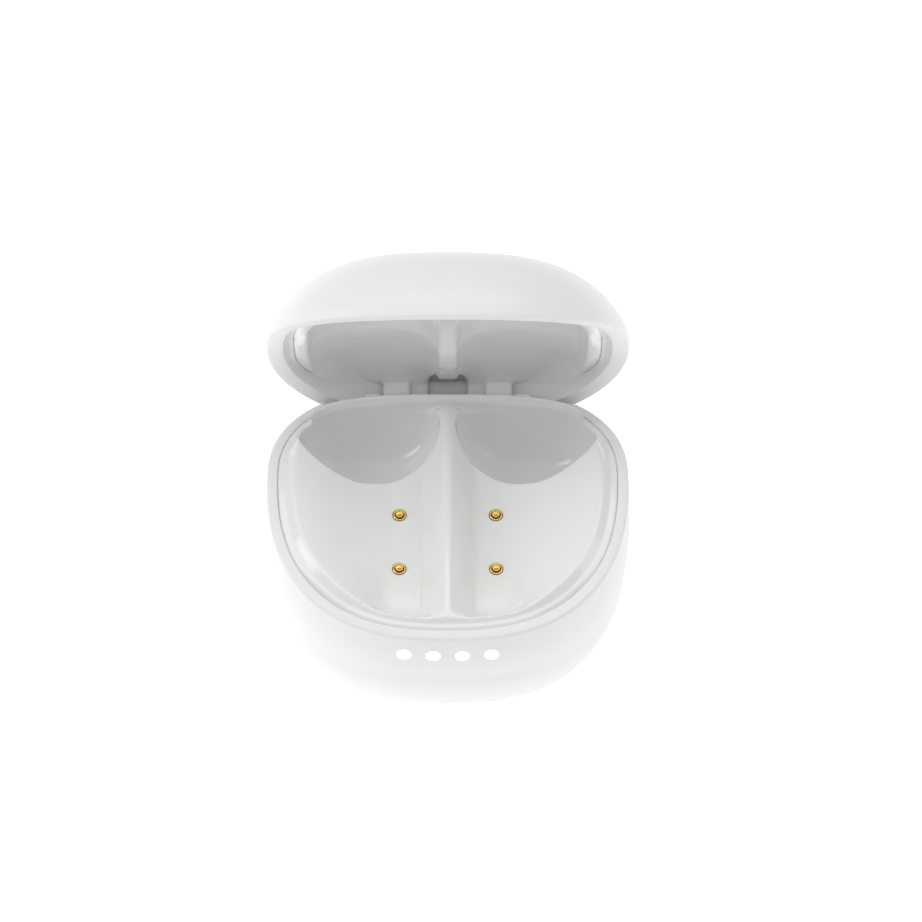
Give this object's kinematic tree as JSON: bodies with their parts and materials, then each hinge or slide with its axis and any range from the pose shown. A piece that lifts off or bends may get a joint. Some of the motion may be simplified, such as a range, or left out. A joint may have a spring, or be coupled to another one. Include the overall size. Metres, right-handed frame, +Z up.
{
  "type": "earbuds charging case",
  "caption": "Small white pebble-shaped charging case for two earbuds, with a hinged lid, shaped pockets, sprung charging pins and front light windows.",
  "frame": {"origin": "centre of the flat resting face under the case", "axes": "+Z up from the resting face, -Y towards the front with the lights, X along the lid's hinge; the lid stands open at rest"},
  "size_m": [0.0606, 0.0589, 0.0743],
  "materials": {
    "satin_white": "satin",
    "gloss_white": "polished",
    "gold_plate": "gold plated, polished",
    "steel": "plain",
    "milky_clear": "milky clear",
    "board_green": "coated circuit board",
    "black_plastic": "matte",
    "red_wire": "wire insulation",
    "led_yellow": "cast resin",
    "battery_foil": "pouch foil",
    "grey_foam": "foam",
    "amber_film": "film"
  },
  "bodies": {
    "base": {"base_shell": "satin_white", "tray": "gloss_white", "hinge_pin": "steel", "pin_barrel_left_rear": "gold_plate", "pin_spring_left_rear": "steel", "pin_barrel_left_front": "gold_plate", "pin_spring_left_front": "steel", "pin_barrel_right_rear": "gold_plate", "pin_spring_right_rear": "steel", "pin_barrel_right_front": "gold_plate", "pin_spring_right_front": "steel", "pin_board": "board_green", "light_board": "board_green", "main_board": "board_green", "light_guide_1": "milky_clear", "led_1": "led_yellow", "board_screw_1": "steel", "light_guide_2": "milky_clear", "led_2": "led_yellow", "board_screw_2": "steel", "light_guide_3": "milky_clear", "led_3": "led_yellow", "board_screw_3": "steel", "light_guide_4": "milky_clear", "led_4": "led_yellow", "board_screw_4": "steel", "lid_sensor": "black_plastic", "charge_chip": "black_plastic", "power_coil": "black_plastic", "usb_tongue": "black_plastic", "battery_lead_black": "black_plastic", "battery_lead_red": "red_wire", "battery": "battery_foil", "battery_pad": "grey_foam", "usb_socket": "steel", "pin_ribbon": "amber_film", "light_ribbon": "amber_film", "base_magnet_left": "steel", "bud_magnet_left": "steel", "base_magnet_right": "steel", "bud_magnet_right": "steel"},
    "lid": {"lid_shell": "satin_white", "lid_liner": "gloss_white", "lid_magnet_left": "steel", "lid_magnet_right": "steel"},
    "pin_left_rear": {"pin_plunger_left_rear": "gold_plate"},
    "pin_left_front": {"pin_plunger_left_front": "gold_plate"},
    "pin_right_rear": {"pin_plunger_right_rear": "gold_plate"},
    "pin_right_front": {"pin_plunger_right_front": "gold_plate"}
  },
  "joints": [
    {"name": "lid_hinge", "type": "hinge", "parent": "base", "child": "lid", "pos_m": [0, 0.0175, 0.0289], "axis": [-1, 0, 0], "range_deg": [-69.7, 0]},
    {"name": "pin_press_left_rear", "type": "slide", "parent": "base", "child": "pin_left_rear", "axis": [0, 0.1392, -0.9903], "range_m": [0, 0.0006], "stiffness_N_per_m": 250, "springref_m": -0.0004, "deforming": ["pin_spring_left_rear"]},
    {"name": "pin_press_left_front", "type": "slide", "parent": "base", "child": "pin_left_front", "axis": [0, 0.1392, -0.9903], "range_m": [0, 0.0006], "stiffness_N_per_m": 250, "springref_m": -0.0004, "deforming": ["pin_spring_left_front"]},
    {"name": "pin_press_right_rear", "type": "slide", "parent": "base", "child": "pin_right_rear", "axis": [0, 0.1392, -0.9903], "range_m": [0, 0.0006], "stiffness_N_per_m": 250, "springref_m": -0.0004, "deforming": ["pin_spring_right_rear"]},
    {"name": "pin_press_right_front", "type": "slide", "parent": "base", "child": "pin_right_front", "axis": [0, 0.1392, -0.9903], "range_m": [0, 0.0006], "stiffness_N_per_m": 250, "springref_m": -0.0004, "deforming": ["pin_spring_right_front"]}
  ]
}
